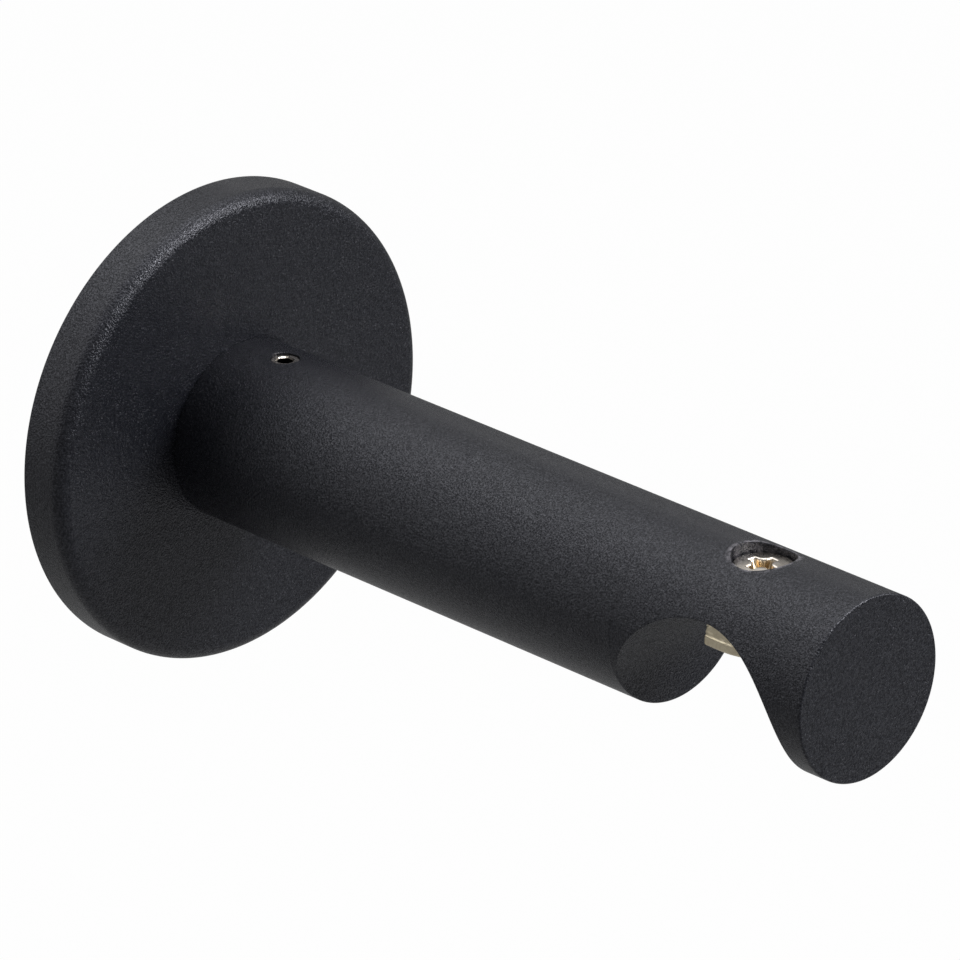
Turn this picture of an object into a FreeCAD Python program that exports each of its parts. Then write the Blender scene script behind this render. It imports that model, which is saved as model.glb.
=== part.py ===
"""Curtain pole bracket: a wall plate with a spigot, a rosette that covers it, a round arm that slides over
the spigot, and a half-round seat under the arm with a clamp screw and a slot nut that draw the pole up.

The wall is the plane Y = 0 and the arm stands out along -Y, with +Z up and the pole along X. The origin is
the centre of the rosette's back. All sizes are in millimetres and degrees.
"""
import FreeCAD, Part
import math
import os
import re
import Sketcher

doc = FreeCAD.newDocument("curtain_pole_bracket")
V = FreeCAD.Vector

# Driving sizes: name, value, what it is
SIZES = [
    ("arm_diameter", 25, "round bar of the arm"),
    ("arm_length", 113.2, "arm from the rosette's face to its end"),
    ("edge_break", 0.25, "edge of the arm's end"),
    ("rosette_diameter", 65.6, "cover against the wall"),
    ("rosette_depth", 7.2, "wall to the rosette's face"),
    ("rosette_wall", 1.6, "thickness of the cover"),
    ("rosette_edge_radius", 2.0, "soft front edge"),
    ("rosette_hole_gap", 0.2, "cover's hole round the spigot"),
    ("plate_thickness", 3.0, "steel plate on the wall"),
    ("plate_rim_gap", 0.8, "plate's rim inside the cover"),
    ("wall_hole_diameter", 4.5, "holes for the wall screws"),
    ("wall_hole_sink", 9.0, "countersink's width"),
    ("wall_hole_circle", 40, "circle through the wall screws"),
    ("wall_hole_count", 3, "wall screws"),
    ("arm_wall", 4.45, "metal round the arm's bore"),
    ("spigot_grip", 17, "length inside the arm of the stud that carries it"),
    ("spigot_gap", 0.05, "stud in the arm's bore"),
    ("spigot_lead", 1.0, "chamfer at the stud's nose"),
    ("bore_spare", 1.0, "bore past the stud's nose"),
    ("fixing_thread", 6, "screw that holds the stud to the plate"),
    ("fixing_head", 11.3, "its countersunk head"),
    ("fixing_length", 14, "its length, head included"),
    ("fixing_key", 4, "its hexagon socket across flats"),
    ("fixing_key_depth", 2.6, "depth of that socket"),
    ("fixing_spare", 1.5, "tapped hole past the screw's end"),
    ("thread_gap", 0.05, "screw thread in its hole"),
    ("thread_lead", 0.6, "chamfer at a screw's end"),
    ("set_thread", 4, "set screw that locks the arm"),
    ("set_out", 7.9, "set screw's axis from the rosette's face"),
    ("set_sunk", 0.45, "arm's top to the set screw's top"),
    ("set_key", 2, "its hexagon socket across flats"),
    ("set_key_depth", 2.2, "depth of that socket"),
    ("dimple_depth", 1.0, "cone in the stud for the set screw's point"),
    ("pole_diameter", 28, "pole that the seat holds"),
    ("seat_gap", 0.45, "seat round the pole"),
    ("seat_bridge", 6.3, "arm's top to the seat's crown"),
    ("seat_inset", 18.4, "arm's end to the pole's axis"),
    ("clamp_thread", 4, "clamp screw's thread"),
    ("clamp_length", 10, "clamp screw under its head"),
    ("clamp_head", 8, "clamp screw's pan head"),
    ("clamp_head_side", 1.7, "height of the head's straight side"),
    ("clamp_head_dome", 0.8, "rise of the head's crown"),
    ("clamp_hole_gap", 0.08, "clamp screw in the arm's hole"),
    ("counterbore_gap", 0.23, "clamp screw's head in its counterbore"),
    ("counterbore_depth", 3.4, "top of the arm to the head's seat"),
    ("recess_span", 4.3, "cross recess from tip to tip"),
    ("recess_wing", 1.1, "width of its wings"),
    ("recess_core", 2.5, "width of its middle"),
    ("recess_foot", 0.5, "foot of the recess as a share of its mouth"),
    ("recess_depth", 1.7, "depth of its wings below the crown"),
    ("recess_core_extra", 0.3, "how much deeper its middle goes"),
    ("nut_length", 14.2, "slot nut along the pole"),
    ("nut_width", 6.4, "slot nut across the pole's slot"),
    ("nut_thickness", 3.0, "stamped plate of the slot nut"),
    ("nut_band", 1.3, "straight band of the stamped edge"),
    ("nut_draft", 4.0, "lean of the torn part of that edge, in degrees"),
    ("nut_hang", 8.16, "clamp screw's head seat to the slot nut's underside"),
]

sizes = doc.addObject("Spreadsheet::Sheet", "sizes")
for row, (alias, value, note) in enumerate(SIZES, start=1):
    sizes.set(f"A{row}", note)
    sizes.set(f"B{row}", str(value))
    sizes.setAlias(f"B{row}", alias)
doc.recompute()


def sized(text):
    """A formula in the sheet's names, such as "arm_diameter / 2", with each name pointed at the sheet."""
    return re.sub(r"[a-z]+(_[a-z]+)+", r"sizes.\g<0>", text)


def part_body(name):
    """A new sub-part."""
    body = doc.addObject("PartDesign::Body", name)
    body.Label = name
    body.Placement = FreeCAD.Placement()
    return body


def plane(body, role):
    """One of the sub-part's own origin planes or axes."""
    return next(feature for feature in body.Origin.OriginFeatures if feature.Role == role)


def sketch(body, name, role, lift="0", along="0"):
    """An empty sketch on an origin plane, lifted off it by one formula and moved along its own X by another.
    XZ sketches face -Y, out of the wall; YZ sketches have Y to the right and Z up."""
    made = body.newObject("Sketcher::SketchObject", name)
    made.AttachmentSupport = [(plane(body, role), "")]
    made.MapMode = "FlatFace"
    made.setExpression("AttachmentOffset.Base.z", sized(lift))
    made.setExpression("AttachmentOffset.Base.x", sized(along))
    return made


def own_axis(name):
    """The number by which a sketch's constraints know one of its own axes: they count down from -1."""
    return -1 - ("H_Axis", "V_Axis").index(name)


def tie(made, kind, spots, formula):
    """One dimension of a sketch, tied to a formula."""
    index = made.addConstraint(Sketcher.Constraint(kind, *spots, float(made.evalExpression(sized(formula)))))
    name = f"size_{index}"
    made.renameConstraint(index, name)
    made.setExpression(f"Constraints.{name}", sized(formula))


def circle(made, diameter, across="0", up="0"):
    """A circle of a given diameter at a given place."""
    ring = made.addGeometry(Part.Circle(V(1, 1, 0), V(0, 0, 1), 1), False)
    tie(made, "Diameter", (ring,), diameter)
    tie(made, "DistanceX", (*ORIGIN, ring, 3), across)
    tie(made, "DistanceY", (*ORIGIN, ring, 3), up)


def outline(made, corners, bow=None):
    """A closed outline through corners, each a pair of formulas. Its sides are straight, but for the one
    that bow may number: an arc that turns left about a centre on the sketch's upright axis."""
    spots = [V(*(float(made.evalExpression(sized(formula))) for formula in corner), 0) for corner in corners]
    sides = []
    for index, (start, end) in enumerate(zip(spots, spots[1:] + spots[:1])):
        side = Part.LineSegment(start, end)
        if index == bow:
            height = (start.Length ** 2 - end.Length ** 2) / (2 * (start.y - end.y))
            ring = Part.Circle(V(0, height, 0), V(0, 0, 1), math.hypot(start.x, start.y - height))
            side = Part.ArcOfCircle(ring, *(math.atan2(spot.y - height, spot.x) for spot in (start, end)))
        sides.append(made.addGeometry(side, False))
    for here, after in zip(sides, sides[1:] + sides[:1]):
        made.addConstraint(Sketcher.Constraint("Coincident", here, 2, after, 1))
    if bow is not None:
        made.addConstraint(Sketcher.Constraint("PointOnObject", sides[bow], 3, own_axis("V_Axis")))
    for side, (across, up) in zip(sides, corners):
        tie(made, "DistanceX", (*ORIGIN, side, 1), across)
        tie(made, "DistanceY", (*ORIGIN, side, 1), up)


def pad(body, name, made, length, draft="0"):
    """Material from a sketch outwards."""
    feature = body.newObject("PartDesign::Pad", name)
    feature.Profile = made
    feature.setExpression("Length", sized(length))
    feature.setExpression("TaperAngle", sized(draft))
    return feature


def pocket(body, name, made, length, reverse=False, both_ways=False):
    """Material cut from a sketch inwards, or outwards, or both ways by half the length."""
    feature = body.newObject("PartDesign::Pocket", name)
    feature.Profile = made
    feature.Reversed = reverse
    feature.SideType = "Symmetric" if both_ways else "One side"
    feature.setExpression("Length", sized(length))
    return feature


def turned(body, name, made, axis, kind="PartDesign::Revolution"):
    """A full turn of a sketch about its own H_Axis or V_Axis, added or, as a Groove, cut."""
    feature = body.newObject(kind, name)
    feature.Profile = made
    feature.ReferenceAxis = (made, [axis])
    feature.Angle = 360
    return feature


def soften(body, name, feature, test, size, kind="Fillet", measure="Radius"):
    """A fillet, or a chamfer, on the edges that pass a test."""
    doc.recompute()
    made = body.newObject(f"PartDesign::{kind}", name)
    made.Base = (feature, [f"Edge{k}" for k, edge in enumerate(feature.Shape.Edges, start=1) if test(edge)])
    made.setExpression(measure, sized(size))


def ring_at(diameter, axis, place):
    """A test for a round edge of a given diameter whose centre lies at a given place along an axis."""
    def test(edge):
        curve = edge.Curve
        if not isinstance(curve, Part.Circle):
            return False
        centre = getattr(curve.Center, axis)
        return abs(curve.Radius - diameter / 2) < TOUCH and abs(centre - place) < TOUCH
    return test


TOUCH = 0.001
ORIGIN = (-1, 1)
ARM_TOP = "arm_diameter / 2"
SPIGOT_TOP = "(arm_diameter / 2 - arm_wall - spigot_gap)"
SET_OUT = "(rosette_depth + set_out)"
POLE_OUT = "(rosette_depth + arm_length - seat_inset)"
SEAT_RADIUS = "(pole_diameter / 2 + seat_gap)"
SEAT_HEIGHT = f"(arm_diameter / 2 - seat_bridge - {SEAT_RADIUS})"
HEAD_SEAT = "(arm_diameter / 2 - counterbore_depth)"
NUT_FOOT = f"({HEAD_SEAT} - nut_hang)"
HEXAGON = 6


def hexagon(made, across_flats):
    """A regular hexagon about the sketch's origin, two of its corners on the sketch's X."""
    side = 360 // HEXAGON
    corner = f"{across_flats} / sqrt(3)"
    turns = [f"{side * k} deg" for k in range(HEXAGON)]
    outline(made, [(f"{corner} * cos({turn})", f"{corner} * sin({turn})") for turn in turns])


def make_wall_plate():
    """Steel disc on the wall, countersunk in front for the wall screws and behind for the stud's screw."""
    body = part_body("wall_plate")
    disc = sketch(body, "plate_outline", "XZ_Plane")
    circle(disc, "rosette_diameter - 2 * (rosette_wall + plate_rim_gap)")
    pad(body, "plate_disc", disc, "plate_thickness")

    screw_place = sketch(body, "wall_screw_place", "XZ_Plane", lift="plate_thickness")
    circle(screw_place, "wall_hole_diameter", up="wall_hole_circle / 2")
    doc.recompute()
    screw_hole = body.newObject("PartDesign::Hole", "wall_screw_hole")
    screw_hole.Profile = screw_place
    screw_hole.ThreadType = "None"
    screw_hole.DepthType = "ThroughAll"
    screw_hole.HoleCutType = "Countersink"
    screw_hole.HoleCutCustomValues = True
    screw_hole.HoleCutCountersinkAngle = 90
    screw_hole.setExpression("Diameter", sized("wall_hole_diameter"))
    screw_hole.setExpression("HoleCutDiameter", sized("wall_hole_sink"))
    doc.recompute()
    round_the_plate = body.newObject("PartDesign::PolarPattern", "wall_screw_holes")
    round_the_plate.Originals = [screw_hole]
    round_the_plate.Axis = (screw_place, ["N_Axis"])
    round_the_plate.Angle = 360
    round_the_plate.setExpression("Occurrences", sized("wall_hole_count"))
    body.Tip = round_the_plate

    # The stud's screw sits flush in a cone that narrows from the wall side
    cone = sketch(body, "fixing_cone", "YZ_Plane")
    thread_radius = "(fixing_thread / 2 + thread_gap)"
    head_radius = "(fixing_head / 2 + thread_gap)"
    outline(cone, [
        ("0", "0"),
        ("0", head_radius),
        (f"-({head_radius} - {thread_radius})", thread_radius),
        ("-plate_thickness", thread_radius),
        ("-plate_thickness", "0"),
    ])
    turned(body, "fixing_hole", cone, "H_Axis", "PartDesign::Groove")
    return body


def make_spigot():
    """Turned stud on the plate: the arm slides over it, and its dimple takes the set screw's point."""
    body = part_body("spigot")
    nose = "-(rosette_depth + spigot_grip)"
    half = sketch(body, "spigot_profile", "YZ_Plane")
    outline(half, [
        ("-plate_thickness", "0"),
        ("-plate_thickness", SPIGOT_TOP),
        (f"{nose} + spigot_lead", SPIGOT_TOP),
        (nose, f"{SPIGOT_TOP} - spigot_lead"),
        (nose, "0"),
    ])
    turned(body, "spigot_bar", half, "H_Axis")

    tapped = sketch(body, "fixing_thread_hole", "XZ_Plane", lift="plate_thickness")
    circle(tapped, "fixing_thread + 2 * thread_gap")
    pocket(body, "fixing_bore", tapped, "fixing_length + fixing_spare - plate_thickness", reverse=True)

    dimple = sketch(body, "dimple_profile", "YZ_Plane", along=f"-{SET_OUT}")
    outline(dimple, [
        ("0", f"{SPIGOT_TOP} - dimple_depth"),
        ("2 * dimple_depth", f"{SPIGOT_TOP} + dimple_depth"),
        ("0", f"{SPIGOT_TOP} + dimple_depth"),
    ])
    turned(body, "dimple", dimple, "V_Axis", "PartDesign::Groove")
    return body


def make_spigot_screw():
    """Countersunk socket screw from the back of the plate into the stud."""
    body = part_body("spigot_screw")
    thread_radius = "fixing_thread / 2"
    head_radius = "fixing_head / 2"
    half = sketch(body, "screw_profile", "YZ_Plane")
    outline(half, [
        ("-thread_gap", "0"),
        ("-thread_gap", head_radius),
        (f"-thread_gap - ({head_radius} - {thread_radius})", thread_radius),
        ("-fixing_length + thread_lead", thread_radius),
        ("-fixing_length", f"{thread_radius} - thread_lead"),
        ("-fixing_length", "0"),
    ])
    turned(body, "screw_bar", half, "H_Axis")
    socket = sketch(body, "socket_outline", "XZ_Plane")
    hexagon(socket, "fixing_key")
    pocket(body, "socket", socket, "fixing_key_depth", reverse=True)
    return body


def make_rosette():
    """Round cover: a shallow cup with a soft front edge, open to the wall, with a hole for the stud."""
    body = part_body("rosette")
    disc = sketch(body, "rosette_outline", "XZ_Plane")
    circle(disc, "rosette_diameter")
    block = pad(body, "rosette_block", disc, "rosette_depth")
    front_edge = ring_at(sizes.rosette_diameter, "y", -sizes.rosette_depth)
    soften(body, "front_edge", block, front_edge, "rosette_edge_radius")

    inside = sketch(body, "rosette_inside", "XZ_Plane")
    circle(inside, "rosette_diameter - 2 * rosette_wall")
    pocket(body, "rosette_cup", inside, "rosette_depth - rosette_wall", reverse=True)

    hole = sketch(body, "rosette_hole_outline", "XZ_Plane")
    circle(hole, f"2 * ({SPIGOT_TOP} + rosette_hole_gap)")
    pocket(body, "rosette_hole", hole, "rosette_depth", reverse=True)
    return body


def make_arm():
    """Round bar with a blind bore for the stud, the screws' two holes and the pole's seat."""
    body = part_body("arm")
    section = sketch(body, "arm_section", "XZ_Plane", lift="rosette_depth")
    circle(section, "arm_diameter")
    pad(body, "arm_bar", section, "arm_length")

    bore = sketch(body, "arm_bore_outline", "XZ_Plane", lift="rosette_depth")
    circle(bore, "arm_diameter - 2 * arm_wall")
    pocket(body, "arm_bore", bore, "spigot_grip + bore_spare", reverse=True)

    set_hole = sketch(body, "set_hole_outline", "XY_Plane", lift="arm_diameter / 2")
    circle(set_hole, "set_thread + 2 * thread_gap", up=f"-{SET_OUT}")
    pocket(body, "set_hole", set_hole, ARM_TOP)

    clamp_hole = sketch(body, "clamp_hole_outline", "XY_Plane", lift="arm_diameter / 2")
    circle(clamp_hole, "clamp_thread + 2 * clamp_hole_gap", up=f"-{POLE_OUT}")
    pocket(body, "clamp_hole", clamp_hole, "arm_diameter")
    sunk = sketch(body, "counterbore_outline", "XY_Plane", lift="arm_diameter / 2")
    circle(sunk, "clamp_head + 2 * counterbore_gap", up=f"-{POLE_OUT}")
    pocket(body, "counterbore", sunk, "counterbore_depth")

    # The seat is a half round on upright legs, so the pole drops in from below
    seat = sketch(body, "seat_outline", "YZ_Plane", along=f"-{POLE_OUT}")
    radius = float(seat.evalExpression(sized(SEAT_RADIUS)))
    centre = V(0, float(seat.evalExpression(sized(SEAT_HEIGHT))), 0)
    foot = -sizes.arm_diameter
    arch = seat.addGeometry(Part.ArcOfCircle(Part.Circle(centre, V(0, 0, 1), radius), 0, math.pi), False)
    left = seat.addGeometry(Part.LineSegment(V(-radius, centre.y, 0), V(-radius, foot, 0)), False)
    under = seat.addGeometry(Part.LineSegment(V(-radius, foot, 0), V(radius, foot, 0)), False)
    right = seat.addGeometry(Part.LineSegment(V(radius, foot, 0), V(radius, centre.y, 0)), False)
    for first, second in ((arch, left), (left, under), (under, right), (right, arch)):
        seat.addConstraint(Sketcher.Constraint("Coincident", first, 2, second, 1))
    for leg in (left, right):
        seat.addConstraint(Sketcher.Constraint("Vertical", leg))
    seat.addConstraint(Sketcher.Constraint("Horizontal", under))
    seat.addConstraint(Sketcher.Constraint("PointOnObject", arch, 3, own_axis("V_Axis")))
    tie(seat, "Radius", (arch,), SEAT_RADIUS)
    for spot in (1, 2, 3):
        tie(seat, "DistanceY", (*ORIGIN, arch, spot), SEAT_HEIGHT)
    tie(seat, "DistanceY", (*ORIGIN, under, 1), "-arm_diameter")
    seat_cut = pocket(body, "seat", seat, "2 * arm_diameter", both_ways=True)

    end = -(sizes.rosette_depth + sizes.arm_length)
    soften(body, "arm_end", seat_cut, ring_at(sizes.arm_diameter, "y", end), "edge_break", "Chamfer", "Size")
    return body


def make_grub_screw():
    """Socket set screw on top of the arm, its point in the stud's dimple."""
    body = part_body("grub_screw")
    radius = "set_thread / 2"
    point = f"{SPIGOT_TOP} - dimple_depth + thread_gap"
    top = "(arm_diameter / 2 - set_sunk)"
    half = sketch(body, "grub_profile", "YZ_Plane", along=f"-{SET_OUT}")
    outline(half, [
        ("0", point),
        (f"{radius}", f"{point} + {radius}"),
        (f"{radius}", f"{top} - thread_lead / 2"),
        (f"{radius} - thread_lead / 2", top),
        ("0", top),
    ])
    turned(body, "grub_bar", half, "V_Axis")
    socket = sketch(body, "grub_socket_outline", "XY_Plane", lift=top)
    socket.setExpression("AttachmentOffset.Base.y", sized(f"-{SET_OUT}"))
    hexagon(socket, "set_key")
    pocket(body, "grub_socket", socket, "set_key_depth")
    return body


def make_clamp_screw():
    """Pan-head screw with a cross recess, from the counterbore down through the arm into the slot nut."""
    body = part_body("clamp_screw")
    rim = f"({HEAD_SEAT} + clamp_head_side)"
    crown = f"({rim} + clamp_head_dome)"
    ball = "(((clamp_head / 2) ^ 2 + clamp_head_dome ^ 2) / (2 * clamp_head_dome))"
    mouth = f"({crown} - {ball} + sqrt({ball} ^ 2 - (recess_core / 2) ^ 2))"
    foot = f"({crown} - recess_depth)"
    half = sketch(body, "screw_profile", "YZ_Plane", along=f"-{POLE_OUT}")
    rim_corner = ("clamp_head / 2", rim)
    corners = [
        ("0", f"{HEAD_SEAT} - clamp_length"),
        ("clamp_thread / 2 - thread_lead", f"{HEAD_SEAT} - clamp_length"),
        ("clamp_thread / 2", f"{HEAD_SEAT} - clamp_length + thread_lead"),
        ("clamp_thread / 2", HEAD_SEAT),
        ("clamp_head / 2", HEAD_SEAT),
        rim_corner,
        ("recess_core / 2", mouth),
        ("recess_core / 2 * recess_foot", f"{foot} - recess_core_extra"),
        ("0", f"{foot} - recess_core_extra"),
    ]
    outline(half, corners, bow=corners.index(rim_corner))
    turned(body, "screw_bar", half, "V_Axis")

    # The wings of the recess are two crossed slots with sloping ends
    wing_x = sketch(body, "recess_wing_x", "XZ_Plane", lift=POLE_OUT)
    wing_y = sketch(body, "recess_wing_y", "YZ_Plane", along=f"-{POLE_OUT}")
    for wing in (wing_x, wing_y):
        outline(wing, [
            ("-recess_span / 2", crown),
            ("-recess_span / 2 * recess_foot", foot),
            ("recess_span / 2 * recess_foot", foot),
            ("recess_span / 2", crown),
        ])
        pocket(body, f"{wing.Name}_cut", wing, "recess_wing", both_ways=True)
    return body


def make_clamp_nut():
    """Stamped slot nut. Each end is straight on one side of the middle and round on the other, so that it
    can turn in the pole's slot and then stops on its square corners."""
    body = part_body("clamp_nut")
    long_half = sizes.nut_length / 2
    wide_half = sizes.nut_width / 2
    lean = math.asin(wide_half / long_half)
    round_to = long_half * math.cos(lean)

    def plan(name, lift):
        """The nut's outline from above: two square corners and two round ones, about the screw's axis."""
        made = sketch(body, name, "XY_Plane", lift=lift)
        made.setExpression("AttachmentOffset.Base.y", sized(f"-{POLE_OUT}"))
        ends = []
        for sign in (-1, 1):
            middle = V(sign * long_half, 0, 0)
            square = V(sign * long_half, -sign * wide_half, 0)
            start = math.pi if sign < 0 else 0
            ring = Part.Circle(V(0, 0, 0), V(0, 0, 1), long_half)
            end_line = made.addGeometry(Part.LineSegment(square, middle), False)
            bow = made.addGeometry(Part.ArcOfCircle(ring, start, start + lean), False)
            near = V(sign * round_to, sign * wide_half, 0)
            far = V(-sign * long_half, sign * wide_half, 0)
            side = made.addGeometry(Part.LineSegment(near, far), False)
            ends.append((end_line, bow, side))
        for (end_line, bow, side), (next_end, _, _) in zip(ends, ends[::-1]):
            made.addConstraint(Sketcher.Constraint("Coincident", end_line, 2, bow, 1))
            made.addConstraint(Sketcher.Constraint("Coincident", bow, 2, side, 1))
            made.addConstraint(Sketcher.Constraint("Coincident", side, 2, next_end, 1))
            made.addConstraint(Sketcher.Constraint("Coincident", bow, 3, *ORIGIN))
            made.addConstraint(Sketcher.Constraint("PointOnObject", bow, 1, own_axis("H_Axis")))
            made.addConstraint(Sketcher.Constraint("Vertical", end_line))
            made.addConstraint(Sketcher.Constraint("Horizontal", side))
            tie(made, "Diameter", (bow,), "nut_length")
        tie(made, "DistanceY", (*ORIGIN, ends[0][0], 1), "nut_width / 2")
        tie(made, "DistanceY", (*ORIGIN, ends[1][0], 1), "-nut_width / 2")
        return made

    pad(body, "nut_edge_band", plan("nut_plan", NUT_FOOT), "nut_band")
    upper = plan("nut_upper_plan", f"{NUT_FOOT} + nut_band")
    pad(body, "nut_torn_edge", upper, "nut_thickness - nut_band", draft="-nut_draft")

    tapped = sketch(body, "nut_thread_outline", "XY_Plane", lift=NUT_FOOT)
    circle(tapped, "clamp_thread + 2 * thread_gap", up=f"-{POLE_OUT}")
    pocket(body, "nut_thread", tapped, "nut_thickness", reverse=True)
    return body


parts = [
    make_wall_plate(),
    make_spigot(),
    make_spigot_screw(),
    make_rosette(),
    make_arm(),
    make_grub_screw(),
    make_clamp_screw(),
    make_clamp_nut(),
]
doc.recompute()

for item in doc.Objects:
    if "Invalid" in item.State or "Error" in item.State:
        raise RuntimeError(f"{item.Name} did not build: {item.State}")
os.makedirs("parts", exist_ok=True)
for body in parts:
    if body.Shape.isNull() or not body.Shape.isValid():
        raise RuntimeError(f"{body.Label} is not a sound solid")
for body in parts:
    body.Shape.exportStep(f"parts/{body.Label}.step")
    box = body.Shape.BoundBox
    reach = f"y {box.YMin:.2f} to {box.YMax:.2f}, z {box.ZMin:.2f} to {box.ZMax:.2f}"
    print(f"{body.Label}: {len(body.Shape.Solids)} solid, {body.Shape.Volume:.1f} mm3, {reach}")
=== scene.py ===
# %% [markdown]
# # A curtain pole bracket, in cells
# A bracket for a 28 mm curtain pole: a round cover against the wall, a round bar that stands out from it,
# and a half-round seat under the bar's end. It is steel with a black powder coat, and its small screws and
# its clamp nut are nickel plated. The construction model gives every size, so this file adds the surfaces
# and the finishes: rounded edges, threads, the cross recess and the coating's fine pebbles.

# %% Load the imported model
import math
import bmesh
import bpy
import numpy as np
from mathutils import Matrix, Vector


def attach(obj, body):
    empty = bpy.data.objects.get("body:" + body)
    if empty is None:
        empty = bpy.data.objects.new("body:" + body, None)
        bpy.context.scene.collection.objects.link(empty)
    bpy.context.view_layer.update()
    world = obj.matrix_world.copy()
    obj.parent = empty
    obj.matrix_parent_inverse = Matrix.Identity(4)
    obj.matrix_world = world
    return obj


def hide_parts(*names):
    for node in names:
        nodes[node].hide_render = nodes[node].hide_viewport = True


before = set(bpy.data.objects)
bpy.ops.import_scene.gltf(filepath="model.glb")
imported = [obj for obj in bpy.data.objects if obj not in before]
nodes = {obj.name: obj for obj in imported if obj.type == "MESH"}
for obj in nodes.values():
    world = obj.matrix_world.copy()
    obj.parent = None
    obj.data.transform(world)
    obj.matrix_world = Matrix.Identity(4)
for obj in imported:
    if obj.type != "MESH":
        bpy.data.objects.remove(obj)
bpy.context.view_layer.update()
print("nodes:", ", ".join(sorted(nodes)))

# %% [markdown]
# Every surface below is a grid of points worked out in millimetres, because that is how the bracket is
# drawn. The sizes that several pieces share come first, so that each shape can name what it uses.

# %% Sizes in millimetres
MM = 0.001
ARM_RADIUS = 12.5
ARM_WALL_END = -7.2
ARM_FREE_END = -120.4
SEAT_Y = -102.0
SEAT_Z = -8.25
SEAT_RADIUS = 14.45
SET_SCREW_Y = -15.1
print("the arm is", round(ARM_WALL_END - ARM_FREE_END, 1), "mm long and", 2 * ARM_RADIUS, "mm thick")

# %% [markdown]
# A grid of points becomes a mesh by joining each point to its neighbours. Where a hole comes, the grid
# leaves out a rectangle of its squares, and further patches fill it from the rectangle's border inwards.

# %% Grids to faces
def patch(points):
    """A grid of points, shape (rows, columns, 3), as (points, faces). Each face joins four neighbours."""
    rows, columns = points.shape[:2]
    number = np.arange(rows * columns).reshape(rows, columns)
    corners = (number[:-1, :-1], number[:-1, 1:], number[1:, 1:], number[1:, :-1])
    return points.reshape(-1, 3), np.stack([c.ravel() for c in corners], -1)


def ring(points):
    """The same for a grid whose columns close on themselves: the first column follows the last again."""
    return patch(np.concatenate([points, points[:, :1]], 1))


def hole_in(points, rows, columns):
    """A grid with a rectangular opening, as (points, faces, the opening's border as one closed loop).
    rows and columns are the first and last grid line of the opening."""
    flat, faces = patch(points)
    row, column = np.divmod(faces[:, 0], points.shape[1])
    inside = (row >= rows[0]) & (row < rows[1]) & (column >= columns[0]) & (column < columns[1])
    r, c = np.arange(*rows), np.arange(*columns)
    loop = np.concatenate([
        points[rows[0], c],
        points[r, columns[1]],
        points[rows[1], c[::-1] + 1],
        points[r[::-1] + 1, columns[0]],
    ])
    return (flat, faces[~inside]), loop


sample, border = hole_in(np.zeros((5, 5, 3)), (1, 3), (1, 3))
print("16 squares less an opening of 4 leave", len(sample[1]), "and a border of", len(border), "points")

# %% [markdown]
# Patches that share their border points are welded, so a whole part closes without a boolean. The weld also
# turns the squeezed squares at a pole into triangles. Normals are worked out after the weld, when the shell
# is closed. Some materials need to know where on a piece they are, for a painted highlight or a painted shade
# in a hollow, so a piece's points can carry a mark that its material reads.

# %% Patches to one piece
WELD = 0.0015


def build(name, surfaces, sharp=40):
    """Welds surfaces given in millimetres into one closed mesh in metres.
    Its shading is smooth, except across edges that turn by more than the sharp angle in degrees."""
    starts = np.cumsum([0] + [len(p) for p, _ in surfaces])
    points = np.concatenate([p for p, _ in surfaces]) * MM
    faces = np.concatenate([f + s for (_, f), s in zip(surfaces, starts)])
    mesh = bpy.data.meshes.new(name)
    mesh.from_pydata(points.tolist(), [], faces.tolist())
    work = bmesh.new()
    work.from_mesh(mesh)
    bmesh.ops.remove_doubles(work, verts=work.verts, dist=WELD * MM)
    bmesh.ops.recalc_face_normals(work, faces=work.faces)
    open_edges = sum(not e.is_manifold for e in work.edges)
    volume = work.calc_volume(signed=True) / MM ** 3
    work.to_mesh(mesh)
    work.free()
    mesh.shade_smooth()
    mesh.set_sharp_from_angle(angle=math.radians(sharp))
    piece = bpy.data.objects.new(name, mesh)
    bpy.context.scene.collection.objects.link(piece)
    weigh = piece.modifiers.new("weigh normals by area", "WEIGHTED_NORMAL")
    weigh.keep_sharp = True
    triangles = sum(len(p.vertices) - 2 for p in mesh.polygons)
    print(f"{name}: {triangles} triangles, {open_edges} open edges, {volume:.0f} cubic mm")
    return piece


def points_of(piece):
    """The piece's points in millimetres, shape (points, 3)."""
    place = np.empty(3 * len(piece.data.vertices))
    piece.data.vertices.foreach_get("co", place)
    return place.reshape(-1, 3) / MM


def mark(piece, name, values):
    """Gives each of the piece's points a number under that name, for its material to read."""
    marks = piece.data.attributes.new(name, "FLOAT", "POINT")
    marks.data.foreach_set("value", values.astype(np.float32))
    print(piece.name, "has", int((values > 0).sum()), "points marked", name)


print("points nearer than", WELD, "mm become one")

# %% [markdown]
# A coated edge is never a knife edge: the paint and the tumbling before it leave a small round. Such an
# edge is worked out along the sharp edge itself. At each point the two faces that meet have outward
# normals, and the round's centre lies where both faces, moved inwards by the radius, cross.

# %% Rounded edges
def unit(v):
    """Each vector divided by its own length."""
    return v / np.linalg.norm(v, axis=-1, keepdims=True)


def round_edge(edge, face_a, face_b, radius, steps=7):
    """A grid that rolls from face a to face b along an edge, shape (points of the edge, steps, 3).
    The centre is edge - radius (a + b) / (1 + a.b), and the arc turns evenly from normal a to normal b."""
    dot = (face_a * face_b).sum(-1, keepdims=True)
    centre = edge - radius * (face_a + face_b) / (1 + dot)
    angle = np.arccos(np.clip(dot, -1, 1))[:, None]
    t = np.linspace(0, 1, steps)[None, :, None]
    turn = (np.sin((1 - t) * angle) * face_a[:, None] + np.sin(t * angle) * face_b[:, None]) / np.sin(angle)
    return centre[:, None] + radius * turn


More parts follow.
